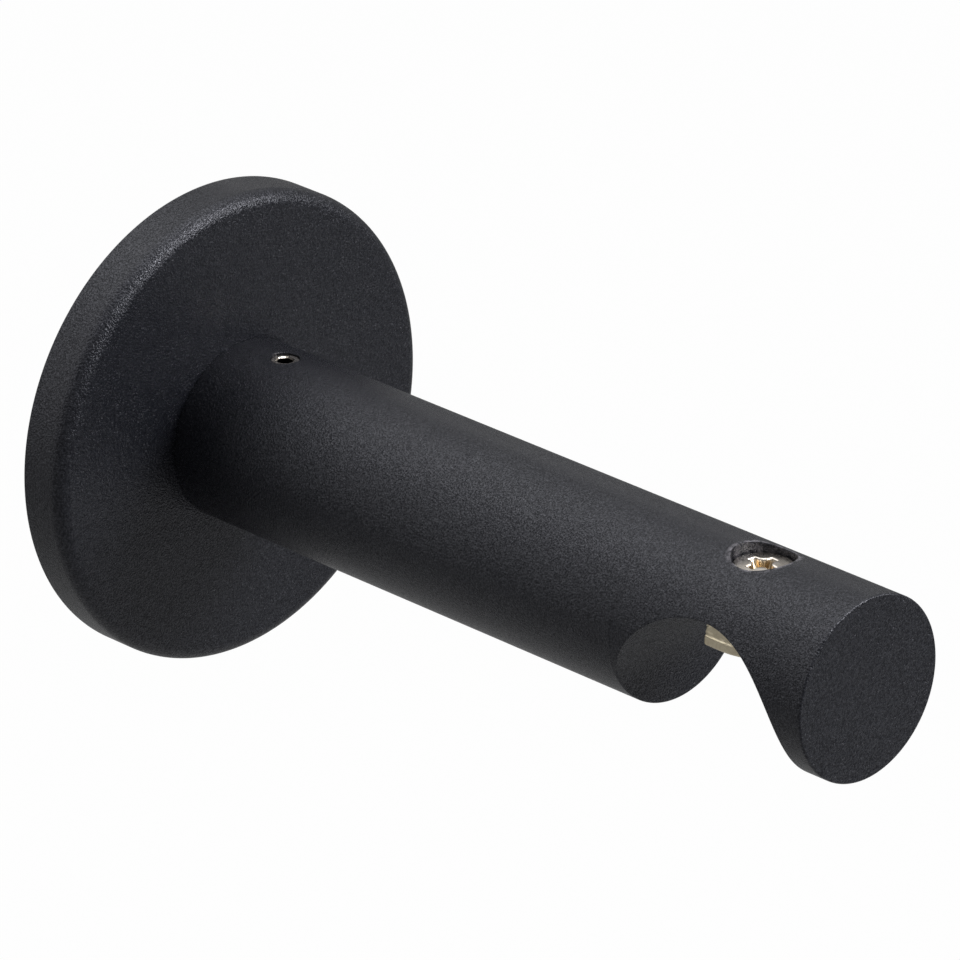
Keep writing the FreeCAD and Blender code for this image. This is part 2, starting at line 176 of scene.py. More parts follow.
sample = round_edge(np.zeros((1, 3)), np.array([[1.0, 0, 0]]), np.array([[0, 0, 1.0]]), 0.5)[0]
print("a square edge with a round of 0.5 mm rolls from", sample[0].round(3), "to", sample[-1].round(3))

# %% [markdown]
# A round hole in a curved skin is drawn in plan first, where its loops are plain circles and squares, and
# then each point is moved straight up or down until it lies on the curve. A loop keeps its number of points
# from the square to the circle, so the rings between them are evenly spaced mixtures of the two.

# %% Loops on curved skins
def onto_bar(points, radius):
    """Points moved straight up or down onto a bar along Y: z = sqrt(radius^2 - x^2)."""
    x, y = points[..., 0], points[..., 1]
    return np.stack([x, y, np.sqrt(radius ** 2 - x ** 2)], -1)


def onto_seat(points):
    """Points moved up onto the seat's crown: z = seat centre + sqrt(seat radius^2 - (y - seat y)^2)."""
    x, y = points[..., 0], points[..., 1]
    return np.stack([x, y, SEAT_Z + np.sqrt(SEAT_RADIUS ** 2 - (y - SEAT_Y) ** 2)], -1)


def circle_facing(loop, centre_y, radius):
    """A circle in plan with as many points as the loop, that starts beside it and turns the same way:
    x = radius cos(a) and y = centre + radius sin(a)."""
    first, second = loop[0, :2] - (0, centre_y), loop[1, :2] - (0, centre_y)
    sense = np.sign(first[0] * second[1] - first[1] * second[0])
    angle = math.atan2(first[1], first[0]) + sense * np.linspace(0, 2 * np.pi, len(loop), endpoint=False)
    return np.stack([radius * np.cos(angle), centre_y + radius * np.sin(angle), 0 * angle], -1)


def blend_rings(first, last, steps):
    """Rings spaced evenly between two closed loops: (1 - t) first + t last, shape (steps, points, 3)."""
    t = np.linspace(0, 1, steps)[:, None, None]
    return first[None] * (1 - t) + last[None] * t


def plumb(rim, z, steps):
    """A wall straight down, or up, from a ring to height z."""
    foot = np.stack([rim[:, 0], rim[:, 1], 0 * rim[:, 0] + z], -1)
    return blend_rings(rim, foot, steps)


def mouth(loop, centre_y, radius, roll):
    """Rings from a loop on the bar's top to a round hole, and the rings in which its mouth rolls over."""
    rim = onto_bar(circle_facing(loop, centre_y, radius), ARM_RADIUS)
    outward = rim * (1, 0, 1) / ARM_RADIUS
    inward = -unit((rim - (0, centre_y, 0)) * (1, 1, 0))
    rolled = round_edge(rim, outward, inward, roll, 6).transpose(1, 0, 2)
    rolled[0] = onto_bar(rolled[0], ARM_RADIUS)
    return onto_bar(blend_rings(loop, rolled[0], 8), ARM_RADIUS), rolled


sample = onto_bar(np.array([5.0, 0, 0]), ARM_RADIUS)
print("5 mm beside its axis the bar's skin is", round(float(sample[2]), 2), "mm up")

# %% [markdown]
# ## The arm
# On the real bracket this is a length of round bar. The half-round seat is milled through it from below,
# a counterbored hole comes down from the top, and the wall end is bored to slide over a stud. A boolean
# could cut all that, but its thin triangles spoil the shading. Here the bar's skin, the seat and the holes
# are patches that meet on shared borders, and the border between skin and seat is a rolled edge.

# %% The line where the seat cuts the bar's side
SEAT_EDGE_ROUND = 0.14
SEAT_EDGE_STEPS = 9
LEG_STEPS = 14
ARC_STEPS = 96
MIRROR = np.array([-1, 1, 1])


def seat_line():
    """The sharp line on the near side: up the leg by the wall, over the arc and down the other leg.
    Returns its points, the bar's normals and the seat's normals. x = -sqrt(bar radius^2 - z^2) all along."""
    down = np.linspace(math.pi, math.acos(SEAT_Z / ARM_RADIUS), LEG_STEPS, endpoint=False)
    leg_z = ARM_RADIUS * np.cos(down)
    arc = np.linspace(0, math.pi, ARC_STEPS + 1)
    leg_y = 0 * leg_z + SEAT_RADIUS
    y = SEAT_Y + np.concatenate([leg_y, SEAT_RADIUS * np.cos(arc), -leg_y])
    z = np.concatenate([leg_z, SEAT_Z + SEAT_RADIUS * np.sin(arc), leg_z[::-1]])
    x = -np.sqrt(np.maximum(ARM_RADIUS ** 2 - z ** 2, 0))
    bar_normal = np.stack([x, 0 * x, z], -1) / ARM_RADIUS
    flat = np.ones(LEG_STEPS)
    seat_y = np.concatenate([-flat, -np.cos(arc), flat])
    seat_z = np.concatenate([0 * flat, -np.sin(arc), 0 * flat])
    return np.stack([x, y, z], -1), bar_normal, np.stack([0 * x, seat_y, seat_z], -1)


line, bar_normal, seat_normal = seat_line()
near_round = round_edge(line, bar_normal, seat_normal, SEAT_EDGE_ROUND, SEAT_EDGE_STEPS)
# The roll's first row is moved onto the bar exactly, because the skin's rows end on it.
skin_side = near_round[:, 0]
skin_side[:, ::2] *= (ARM_RADIUS / np.linalg.norm(skin_side[:, ::2], axis=-1))[:, None]
print("the seat's line has", len(line), "points")

# %% [markdown]
# The skin is three patches of one cylinder, x = r sin(a) and z = r cos(a): the length by the wall, the
# bridge over the seat, and the short length at the free end. The bridge's rows end on the rolled edge, so
# they grow shorter towards the crown. The outer two take the same angles as the bridge's first and last
# row, and so the borders match point for point. Beside the set screw the rows are closer, for its hole.

# %% The bar's skin
BRIDGE_COLUMNS = 64
ARM_END_ROUND = 0.25
ARM_FOOT_ROUND = 0.15
SET_SPAN = 4.0
FOOT_ROWS, SET_ROWS, LONG_ROWS, FREE_ROWS = 5, 8, 59, 8


def around(angles, y, radius=ARM_RADIUS):
    """Points on a bar along Y: x = radius sin(angle), z = radius cos(angle)."""
    angles, y, radius = np.broadcast_arrays(angles, y, radius)
    return np.stack([radius * np.sin(angles), y, radius * np.cos(angles)], -1)


across = np.linspace(-1, 1, BRIDGE_COLUMNS + 1)
arc_rows = slice(LEG_STEPS, LEG_STEPS + ARC_STEPS + 1)
bridge_edge = skin_side[arc_rows]
half_angle = np.arctan2(-bridge_edge[:, 0], bridge_edge[:, 2])
bridge = around(half_angle[:, None] * across, bridge_edge[:, 1][:, None])
bridge[:, 0], bridge[:, -1] = bridge_edge, bridge_edge * MIRROR

leg_side = skin_side[:LEG_STEPS + 1]
leg_angles = np.arctan2(-leg_side[:, 0], leg_side[:, 2])[:-1]
full_turn = np.concatenate([-leg_angles, half_angle[0] * across, leg_angles[:0:-1]])
closed_turn = np.append(full_turn, full_turn[0])
set_rows_y = np.linspace(SET_SCREW_Y + SET_SPAN, SET_SCREW_Y - SET_SPAN, SET_ROWS + 1)
skin_y = np.concatenate([
    np.linspace(ARM_WALL_END - ARM_FOOT_ROUND, set_rows_y[0], FOOT_ROWS + 1)[:-1],
    set_rows_y,
    np.linspace(set_rows_y[-1], leg_side[0, 1], LONG_ROWS + 1)[1:],
])
free_y = np.linspace(skin_side[-1, 1], ARM_FREE_END + ARM_END_ROUND, FREE_ROWS + 1)
free_skin = around(full_turn, free_y[:, None])
print("points round the bar:", len(full_turn))

# %% [markdown]
# Two screws go into the bar from above. Each hole is a square opening left in the grid, filled by rings
# that run from the square to a circle. The hole's mouth rolls over like every coated edge, and then the
# wall goes straight down: to the counterbore's floor for one, and to the bore at the wall end for the other.

# %% The counterbore, seen from above
COUNTERBORE_RADIUS = 4.23
COUNTERBORE_FLOOR = 9.1
COUNTERBORE_MOUTH = 0.1
CLEARANCE_RADIUS = 2.08
HALF_OPENING = 16
middle = ARC_STEPS // 2
top_column = BRIDGE_COLUMNS // 2
opening_columns = (top_column - HALF_OPENING, top_column + HALF_OPENING)

opening_rows = (middle - HALF_OPENING, middle + HALF_OPENING)
bridge_skin, screw_loop = hole_in(bridge, opening_rows, opening_columns)
screw_apron, screw_rolled = mouth(screw_loop, SEAT_Y, COUNTERBORE_RADIUS, COUNTERBORE_MOUTH)
counterbore_wall = plumb(screw_rolled[-1], COUNTERBORE_FLOOR, 8)
step_rim = circle_facing(screw_loop, SEAT_Y, CLEARANCE_RADIUS) + (0, 0, COUNTERBORE_FLOOR)
step_floor = blend_rings(counterbore_wall[-1], step_rim, 5)
print("the counterbore's mouth has", len(screw_loop), "points")

# %% [markdown]
# The set screw's hole is smaller, and it breaks through into the blind bore that slides over the stud. The
# bore's own skin has the same square opening, and the hole's wall ends on a circle lifted onto the bore.

# %% The bore and the set screw's hole
SET_HOLE_RADIUS = 2.0
SET_HOLE_MOUTH = 0.06
SET_HALF_OPENING = 4
BORE_RADIUS = 8.05
BORE_END = -25.2
BORE_LEAD = [ARM_WALL_END, -9.0]
BORE_REST = [-22.0, BORE_END]
top = LEG_STEPS + top_column
set_columns = (top - SET_HALF_OPENING, top + SET_HALF_OPENING)

long_grid = around(closed_turn, skin_y[:, None])
wall_skin, set_loop = hole_in(long_grid, (FOOT_ROWS, FOOT_ROWS + SET_ROWS), set_columns)
set_apron, set_rolled = mouth(set_loop, SET_SCREW_Y, SET_HOLE_RADIUS, SET_HOLE_MOUTH)
bore_y = np.concatenate([BORE_LEAD, set_rows_y, BORE_REST])
bore_grid = around(closed_turn, bore_y[:, None], BORE_RADIUS)
bore_skin, bore_loop = hole_in(bore_grid, (len(BORE_LEAD), len(BORE_LEAD) + SET_ROWS), set_columns)
bore_rim = onto_bar(circle_facing(bore_loop, SET_SCREW_Y, SET_HOLE_RADIUS), BORE_RADIUS)
bore_apron = onto_bar(blend_rings(bore_loop, bore_rim, 4), BORE_RADIUS)
set_wall = blend_rings(set_rolled[-1], bore_rim, 8)
print("the set screw's hole has", len(set_loop), "points")

# %% [markdown]
# The seat is ruled: straight lines along X between the near and the far rolled edge. Its middle has an
# opening for the clearance hole, made as above but lifted onto the seat's crown. First the roll's last row
# is moved onto the seat exactly, y = seat y +- sqrt(seat radius^2 - (z - seat z)^2), as the skin's was.

# %% The seat
arc_side = near_round[arc_rows, -1]
from_middle = np.sqrt(np.maximum(SEAT_RADIUS ** 2 - (arc_side[:, 2] - SEAT_Z) ** 2, 0))
on_arc = SEAT_Y + np.sign(arc_side[:, 1] - SEAT_Y) * from_middle
arc_side[:, 1] = np.where(arc_side[:, 2] > SEAT_Z, on_arc, arc_side[:, 1])

seat_grid = near_round[:, -1][:, None] * np.stack([-across, 0 * across + 1, 0 * across + 1], -1)
seat_rows = (LEG_STEPS + opening_rows[0], LEG_STEPS + opening_rows[1])
seat_skin, seat_loop = hole_in(seat_grid, seat_rows, opening_columns)
seat_rim = onto_seat(circle_facing(seat_loop, SEAT_Y, CLEARANCE_RADIUS))
seat_apron = onto_seat(blend_rings(seat_loop, seat_rim, 6))
shaft = blend_rings(step_rim, seat_rim, 4)
print("the seat is ruled over", len(seat_grid), "lines")

# %% [markdown]
# The free end is a flat disc with a fine round, and the wall end is a ring about the bore. A last ring of
# points just inside the round keeps the flat face flat in its shading. All the patches then weld into one
# shell. The counterbore's rim gets a painted highlight: a mark that turns the coat grey in patches there, and
# a little on the wall below. The mark fades with the distance from the rim and with the depth under the skin.

# %% The ends and the whole arm
RIM_HIGHLIGHT_MIDDLE = 0.08
RIM_HIGHLIGHT_REACH = 0.35
RIM_HIGHLIGHT_DEPTH = 0.12
WALL_HIGHLIGHT = 0.22
FLAT_MARGIN = 0.1


def end_cap(y, outward, edge_round, inner):
    """A flat end: an edge round that rolls from the skin to the face, then rings in to the inner radius.
    Rolled part: radius = bar radius - e + e cos(t), y = face - outward e (1 - sin(t))."""
    t = np.linspace(0, math.pi / 2, 6)
    radius = ARM_RADIUS - edge_round + edge_round * np.cos(t)
    place = y - outward * edge_round * (1 - np.sin(t))
    rings = np.linspace(radius[-1], inner, 14)[1:]
    radius = np.concatenate([radius, [radius[-1] - FLAT_MARGIN], rings])
    place = np.concatenate([place, 0 * rings + y, [y]])
    return around(full_turn, place[:, None], radius[:, None])


arm = build("bracket_arm", [
    wall_skin, ring(set_apron), ring(set_rolled), ring(set_wall), bore_skin, ring(bore_apron),
    bridge_skin, ring(screw_apron), ring(screw_rolled), ring(counterbore_wall), ring(step_floor), ring(shaft),
    ring(free_skin), patch(near_round), patch(near_round * MIRROR), seat_skin, ring(seat_apron),
    ring(end_cap(ARM_FREE_END, -1, ARM_END_ROUND, 0)),
    ring(end_cap(ARM_WALL_END, 1, ARM_FOOT_ROUND, BORE_RADIUS)),
    ring(around(full_turn, np.full((5, 1), BORE_END), np.linspace(BORE_RADIUS, 0, 5)[:, None])),
])
place = points_of(arm)
# A mark for a painted highlight: strongest just outside the counterbore's rim, weaker on its wall.
off_rim = np.hypot(place[:, 0], place[:, 1] - SEAT_Y) - COUNTERBORE_RADIUS
below = np.sqrt(np.maximum(ARM_RADIUS ** 2 - place[:, 0] ** 2, 0)) - place[:, 2]
rim_highlight_share = np.clip(1 - np.abs(off_rim - RIM_HIGHLIGHT_MIDDLE) / RIM_HIGHLIGHT_REACH, 0, 1) * np.clip(1 - below / RIM_HIGHLIGHT_DEPTH, 0, 1)
on_wall = (np.abs(off_rim) < 0.05) & (place[:, 2] > COUNTERBORE_FLOOR + 0.2)
mark(arm, "painted_rim_highlight", np.maximum(rim_highlight_share, WALL_HIGHLIGHT * on_wall))
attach(arm, "bracket")
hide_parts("arm")

# %% [markdown]
# ## The rosette
# A deep-drawn cover hides the plate that is screwed to the wall. It is a shape of revolution, so a profile
# of radius and depth is carried once round the Y axis. The drawing leaves a full round at the front edge,
# which catches a soft band of light, and the cover is open at the back.

# %% The rosette as a turned profile
ROSETTE_RADIUS = 32.8
ROSETTE_DEPTH = 7.2
ROSETTE_ROUND = 2.05
ROSETTE_BACK_ROUND = 0.25
ROSETTE_WALL = 1.6
ROSETTE_HOLE = 8.2
ROSETTE_COUNT = 224
LONGEST_STEP = 2.0


def corner(radius, depth, round_off, start, steps):
    """A quarter arc of a profile from the start angle t in degrees: radius + e cos(t), depth + e sin(t)."""
    t = np.radians(np.linspace(start, start + 90, steps))
    return np.stack([radius + round_off * np.cos(t), depth + round_off * np.sin(t)], -1)


def turned(profile, count):
    """A profile of (radius, y) carried round the Y axis: x = radius sin(a), z = radius cos(a)."""
    a = np.linspace(0, 2 * np.pi, count, endpoint=False)
    return around(a, profile[:, 1][:, None], profile[:, 0][:, None])


def spread(profile, longest):
    """The same profile with points added on its straight stretches, so that no step is over that length."""
    step = np.diff(profile, axis=0)
    count = np.maximum(1, np.ceil(np.linalg.norm(step, axis=1) / longest)).astype(int)
    where = np.repeat(np.arange(len(count)), count)
    t = (np.arange(count.sum()) - np.repeat(np.cumsum(count) - count, count)) / count[where]
    return np.concatenate([profile[where] + t[:, None] * step[where], profile[-1:]])


cup_radius = ROSETTE_RADIUS - ROSETTE_WALL
cup_floor = -ROSETTE_DEPTH + ROSETTE_WALL
rosette_profile = spread(np.concatenate([
    [(ROSETTE_HOLE, -ROSETTE_DEPTH)],
    corner(ROSETTE_RADIUS - ROSETTE_ROUND, -ROSETTE_DEPTH + ROSETTE_ROUND, ROSETTE_ROUND, -90, 15),
    corner(ROSETTE_RADIUS - ROSETTE_BACK_ROUND, -ROSETTE_BACK_ROUND, ROSETTE_BACK_ROUND, 0, 5),
    corner(cup_radius + ROSETTE_BACK_ROUND, -ROSETTE_BACK_ROUND, ROSETTE_BACK_ROUND, 90, 5),
    [(cup_radius, cup_floor), (ROSETTE_HOLE, cup_floor), (ROSETTE_HOLE, -ROSETTE_DEPTH)],
]), LONGEST_STEP)
rosette = build("bracket_rosette", [ring(turned(rosette_profile, ROSETTE_COUNT))])
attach(rosette, "bracket")
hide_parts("rosette")

# %% [markdown]
# ## The clamp screw
# A cross-recess pan-head screw sits in the counterbore and draws the nut up. The recess is pressed into the
# head with tapered wings, so it is worked out as a cross-shaped outline that shrinks with depth. The same
# points run outwards over the head's dome, and so no ring of the head has to be cut. The thread is a real
# helix: the radius rises and falls with height minus the angle's share of the pitch.

# %% Outlines round a screw's axis
THREAD_PITCH = 0.7
RINGS_PER_PITCH = 10


def cross_outline(half_width, reach, inner_round, tip_round=0.12):
    """A cross with four equal arms as one closed loop in plan: an eighth is drawn from an arm's end to the
    inner corner's round, mirrored over the diagonal, and turned four times by a right angle."""
    t = np.radians(np.linspace(0, 90, 4))
    tip = np.array([reach, half_width]) + tip_round * np.stack([np.cos(t) - 1, np.sin(t) - 1], -1)
    s = np.radians(np.linspace(-90, -135, 5))
    bend = half_width + inner_round + inner_round * np.stack([np.cos(s), np.sin(s)], -1)
    halfway = (0.5 * (tip[-1, 0] + bend[0, 0]), half_width)
    eighth = np.concatenate([[(reach, 0)], tip, [halfway], bend])
    quarter = np.concatenate([eighth, eighth[-2:0:-1, ::-1]])
    turns = np.array([[[1, 0], [0, 1]], [[0, 1], [-1, 0]], [[-1, 0], [0, -1]], [[0, -1], [1, 0]]])
    return np.concatenate(quarter @ turns)


def polygon_outline(flats, sides, per_side):
    """A regular polygon of that width across flats: radius = apothem / cos(angle from the side's middle)."""
    a = np.linspace(0, 2 * np.pi, sides * per_side, endpoint=False)
    off_middle = (a + np.pi / sides) % (2 * np.pi / sides) - np.pi / sides
    return (flats / 2 / np.cos(off_middle))[:, None] * np.stack([np.cos(a), np.sin(a)], -1)


def stack(loops, heights, centre_y):
    """Closed loops in plan set one above the other, shape (loops, points, 3), about a vertical axis at y."""
    loops = np.asarray(loops)
    z = np.broadcast_to(np.asarray(heights, float).reshape(len(loops), -1, 1), loops.shape[:2] + (1,))
    return np.concatenate([loops[..., :1], loops[..., 1:] + centre_y, z], -1)


def discs(angles, radii):
    """Circles in plan that use the same angles, shape (circles, points, 2)."""
    return np.asarray(radii, float)[:, None, None] * np.stack([np.cos(angles), np.sin(angles)], -1)


def thread(angles, top, foot, crest, root, tip):
    """Rings of a right-hand thread: radius = root + (crest - root) tooth(height / pitch - angle / turn), with
    the tooth a flattened V. Near the foot the radius stays inside a cone that ends at the tip radius."""
    z = np.arange(top, foot, -THREAD_PITCH / RINGS_PER_PITCH)
    z = np.append(z[z > foot + 0.02], foot)
    phase = (z[:, None] / THREAD_PITCH - angles / (2 * np.pi)) % 1
    tooth = np.clip(1.35 - 2.7 * np.abs(phase - 0.5), 0, 1)
    radius = np.minimum(root + (crest - root) * tooth, tip + (z - foot)[:, None])
    return radius[..., None] * np.stack([np.cos(angles), np.sin(angles)], -1), z


print("one turn of the thread takes", RINGS_PER_PITCH, "rings")

# %% [markdown]
# The punch that presses the recess draws its lip in, so the mouth rolls over, and below it the wings lean
# inwards. The recess sits a little off centre and is turned by a few degrees, as the photographed one is.
# Its mouth lies on the head's shallow dome, and its floor is level.

# %% The cross recess
DOME_TOP = 11.25
DOME_SPHERE = 22
RECESS_DEPTH = 1.7
RECESS_LIP = 0.2
RECESS_TWIST = math.radians(-6)
RECESS_OFF = np.array([-0.15, 0.15])
WING_HALF_WIDTH, WING_REACH, CORE_ROUND = 0.54, 2.08, 1.0
WING_LEAN, REACH_LEAN, CORE_LEAN = 0.14, 0.88, 0.42


def dome_under(squared_radius):
    """Height of the head's dome at a squared distance from the axis: top - sphere + sqrt(sphere^2 - r^2)."""
    return DOME_TOP - DOME_SPHERE + np.sqrt(DOME_SPHERE ** 2 - squared_radius)


roll = np.radians(np.linspace(0, 90, 5))
lip_out, lip_down = RECESS_LIP * (1 - np.sin(roll)), RECESS_LIP * (1 - np.cos(roll))
sink = np.linspace(0, 1, 9)[1:]
depth = np.concatenate([lip_down, RECESS_LIP + (RECESS_DEPTH - RECESS_LIP) * sink])
width = np.concatenate([WING_HALF_WIDTH + lip_out, WING_HALF_WIDTH - WING_LEAN * sink])
reach = np.concatenate([WING_REACH + lip_out, WING_REACH - REACH_LEAN * sink])
core = np.concatenate([CORE_ROUND + 0 * roll, CORE_ROUND - CORE_LEAN * sink])
cosine, sine = math.cos(RECESS_TWIST), math.sin(RECESS_TWIST)
recess = np.array([cross_outline(w, r, c) for w, r, c in zip(width, reach, core)])
recess = recess @ np.array([[cosine, sine], [-sine, cosine]]) + RECESS_OFF
recess_mouth = recess[0]
screw_angles = np.arctan2(recess_mouth[:, 1], recess_mouth[:, 0])
mouth_height = dome_under((recess_mouth ** 2).sum(-1))
floor_height = mouth_height.min() - RECESS_DEPTH
share = (depth / RECESS_DEPTH)[:, None]
recess_height = mouth_height * (1 - share) + floor_height * share
recess_floor = np.array([recess[-1] * s + RECESS_OFF * (1 - s) for s in (1, 0.5, 0)])
print("the recess has", len(recess_mouth), "points on", len(recess), "levels")

# %% [markdown]
# The head's dome rolls over into its side, and its flat underside rests on the counterbore's floor. The
# thread starts just under the head and ends in a short cone. The recess is marked by its depth under the
# dome, and the mark paints its wings a warmer, darker tone than the head: a painted reflection and shade.

# %% The whole clamp screw
HEAD_RADIUS = 4.08
HEAD_ROUND = 0.32
HEAD_FOOT_ROUND = 0.12
SCREW_NECK = 1.95
SCREW_CREST, SCREW_ROOT, SCREW_POINT, SCREW_END = 1.97, 1.6, 1.45, 0.7
THREAD_TOP = COUNTERBORE_FLOOR - 0.05
SCREW_TIP = -0.9
RECESS_SHADE_FROM, RECESS_SHADE_OVER, RECESS_SHADE_RADIUS = 0.1, 0.5, 2.3
bend = np.radians(np.linspace(90, 0, 8))
head_corner = discs(screw_angles, HEAD_RADIUS - HEAD_ROUND + HEAD_ROUND * np.cos(bend))
dome_loops = blend_rings(recess_mouth, head_corner[0], 9)
corner_height = dome_under((head_corner[0, 0] ** 2).sum()) - HEAD_ROUND + HEAD_ROUND * np.sin(bend)
side_loops = discs(screw_angles, [HEAD_RADIUS, HEAD_RADIUS, HEAD_RADIUS - HEAD_FOOT_ROUND, SCREW_NECK])
side_height = [corner_height[-1], COUNTERBORE_FLOOR + HEAD_FOOT_ROUND, COUNTERBORE_FLOOR, COUNTERBORE_FLOOR]
thread_loops, thread_height = thread(
    screw_angles, THREAD_TOP, SCREW_TIP, SCREW_CREST, SCREW_ROOT, SCREW_POINT)
screw_outside = np.concatenate([side_loops, thread_loops, discs(screw_angles, [SCREW_END, 0])])
screw_height = np.concatenate([side_height, thread_height, [SCREW_TIP, SCREW_TIP]])
clamp_screw = build("bracket_clamp_screw", [
    ring(stack(recess, recess_height, SEAT_Y)),
    ring(stack(recess_floor, [floor_height, floor_height - 0.1, floor_height - 0.15], SEAT_Y)),
    ring(stack(dome_loops, dome_under((dome_loops ** 2).sum(-1)), SEAT_Y)),
    ring(stack(head_corner, corner_height, SEAT_Y)),
    ring(stack(screw_outside, screw_height, SEAT_Y)),
])
place = points_of(clamp_screw) - (0, SEAT_Y, 0)
from_axis = np.hypot(place[:, 0], place[:, 1])
sunk = dome_under(np.minimum(from_axis, HEAD_RADIUS) ** 2) - place[:, 2]
in_recess = (from_axis < RECESS_SHADE_RADIUS) * (place[:, 2] > COUNTERBORE_FLOOR)
# The recess mark lays a painted reflection and shade on the wings, growing with depth.
mark(clamp_screw, "recess", np.clip((sunk - RECESS_SHADE_FROM) / RECESS_SHADE_OVER, 0, 1) * in_recess)
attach(clamp_screw, "screw")
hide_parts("clamp_screw")

# %% [markdown]
# ## The set screw
# The short socket screw near the rosette has no head. Its top is a flat ring round a hexagon socket, with
# a narrow chamfer down to the socket that catches the light, and the inside of the socket is painted dark:
# painted shade. The same stacking serves, with a hexagon as the outline.

# %% The set screw's surfaces
SET_TOP = 12.15
SET_FOOT = 7.05
SOCKET_FLATS = 2.0
SOCKET_MOUTH = 1.26
SOCKET_CHAMFER, SOCKET_START, SOCKET_DEPTH = 0.15, 0.21, 2.0
SOCKET_SHADE_FROM, SOCKET_SHADE_RADIUS = 0.2, 1.25
SET_FACE = 1.84
SET_THREAD_TOP = SET_TOP - 0.4
SET_CREST, SET_ROOT, SET_POINT, SET_END = 1.98, 1.62, 1.2, 0.5
socket = polygon_outline(SOCKET_FLATS, 6, 10)
set_angles = np.arctan2(socket[:, 1], socket[:, 0])
socket_sides = [socket * s for s in (1.02, 1.0, 1.0, 0.94, 0)]
socket_loops = np.concatenate([discs(set_angles, [SOCKET_MOUTH]), socket_sides])
socket_height = SET_TOP - np.array([
    0, SOCKET_CHAMFER, SOCKET_START, SOCKET_DEPTH, SOCKET_DEPTH + 0.15, SOCKET_DEPTH + 0.5])
set_thread_loops, set_thread_height = thread(
    set_angles, SET_THREAD_TOP, SET_FOOT, SET_CREST, SET_ROOT, SET_POINT)
set_outside = np.concatenate([
    socket_loops[:1], discs(set_angles, [SET_FACE]), set_thread_loops, discs(set_angles, [SET_END, 0])])
set_height = np.concatenate([[SET_TOP, SET_TOP], set_thread_height, [SET_FOOT, SET_FOOT]])
set_screw = build("bracket_set_screw", [
    ring(stack(socket_loops, socket_height, SET_SCREW_Y)),
    ring(stack(set_outside, set_height, SET_SCREW_Y)),
], sharp=28)
place = points_of(set_screw) - (0, SET_SCREW_Y, 0)
in_socket = (np.hypot(place[:, 0], place[:, 1]) < SOCKET_SHADE_RADIUS) & (place[:, 2] > SET_FOOT + 1)
# The socket's mark paints its inside nearly black: painted shade.
mark(set_screw, "recess", in_socket & (place[:, 2] < SET_TOP - SOCKET_SHADE_FROM))
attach(set_screw, "bracket")
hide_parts("grub_screw")

# %% [markdown]
# ## The clamp nut
# The nut goes lengthwise through a slot in the pole and is turned a quarter. Two of its corners are cut
# round so that it can turn, and two are left square so that it stops. It is blanked from plate: the lower
# edge is drawn in softly by the punch, a smooth band follows, and above it the steel has torn and leans
# inwards. The torn face is pushed in by a sum of waves that run along the edge and over the height.

# %% The clamp nut's outline
NUT_LENGTH = 7.1
NUT_WIDTH = 3.2
NUT_CORNER = 0.12
NUT_NOTCH = 0.25
NUT_HOLE = 2.05
NUT_FOOT = 0.94
NUT_TOP = 3.94
NUT_BAND = 1.3
NUT_ROLL = 0.4
NUT_SHEAR, NUT_LEAN, NUT_TOP_INSET = 0.04, 0.12, 0.2
TORN_LEVELS, TORN_MARGIN = 12, 0.05


def nut_outline(inset):
    """Half the outline is a square corner, half an end, an arc about the middle and a long side. The other
    half is the same turned by half a turn. All of it lies inset inside the nut's full outline."""
    long, wide = NUT_LENGTH - inset, NUT_WIDTH - inset
    t = np.radians(np.linspace(-90, 0, 6))
    square = NUT_CORNER * np.stack([np.cos(t), np.sin(t)], -1) + (long - NUT_CORNER, NUT_CORNER - wide)
    straight = np.stack([np.full(8, long), np.linspace(square[-1, 1], 0, 8)], -1)[1:-1]
    s = np.linspace(0, math.asin((wide - NUT_NOTCH) / long), 10)
    arc = long * np.stack([np.cos(s), np.sin(s)], -1)
    side_x = np.linspace(arc[-1, 0] - NUT_NOTCH, -long + NUT_CORNER, 30)[:-1]
    half = np.concatenate([square, straight, arc, np.stack([side_x, 0 * side_x + wide], -1)])
    return np.concatenate([half, -half])


soft = np.radians(np.linspace(0, 90, 7))
torn_inset = NUT_SHEAR + NUT_LEAN * np.linspace(0, 1, TORN_LEVELS)
inset = np.concatenate([NUT_ROLL * (1 - np.sin(soft)), [0], torn_inset, [NUT_TOP_INSET]])
nut_height = np.concatenate([
    NUT_FOOT + NUT_ROLL * (1 - np.cos(soft)),
    [NUT_FOOT + NUT_BAND],
    np.linspace(NUT_FOOT + NUT_BAND + TORN_MARGIN, NUT_TOP - TORN_MARGIN, TORN_LEVELS),
    [NUT_TOP],
])
nut_loops = np.array([nut_outline(i) for i in inset])
print("the nut's outline has", nut_loops.shape[1], "points on", len(nut_loops), "levels")

# %% [markdown]
# The waves count a whole number of times round the edge, so the torn face closes on itself. Their phase
# moves with the height, which makes the streaks lean. The top and the foot are rings from the outline in to
# the threaded hole.

# %% The torn face and the whole nut
WAVE_COUNT = 14
TEAR = 0.06
walk = np.cumsum(np.linalg.norm(np.diff(nut_loops[0], axis=0, prepend=nut_loops[0][-1:]), axis=1))
turns = 2 * np.pi * walk / walk[-1]
rng = np.random.default_rng(4)
waves, phases = rng.integers(20, 90, WAVE_COUNT), rng.uniform(0, 2 * np.pi, (2, WAVE_COUNT))
lift = nut_height[:, None, None] * rng.uniform(1, 7, WAVE_COUNT)
torn = np.abs((np.sin(turns[:, None] * waves + phases[0] + lift) * np.sin(lift * 1.7 + phases[1])).mean(-1))
inner_levels = (nut_height > NUT_FOOT + NUT_BAND + 2 * TORN_MARGIN) & (nut_height < NUT_TOP - 2 * TORN_MARGIN)
torn *= inner_levels[:, None]
nut_loops *= (1 - TEAR * torn)[..., None]
nut_angles = np.arctan2(nut_loops[0][:, 1], nut_loops[0][:, 0])
nut_rim = discs(nut_angles, [NUT_HOLE])[0]
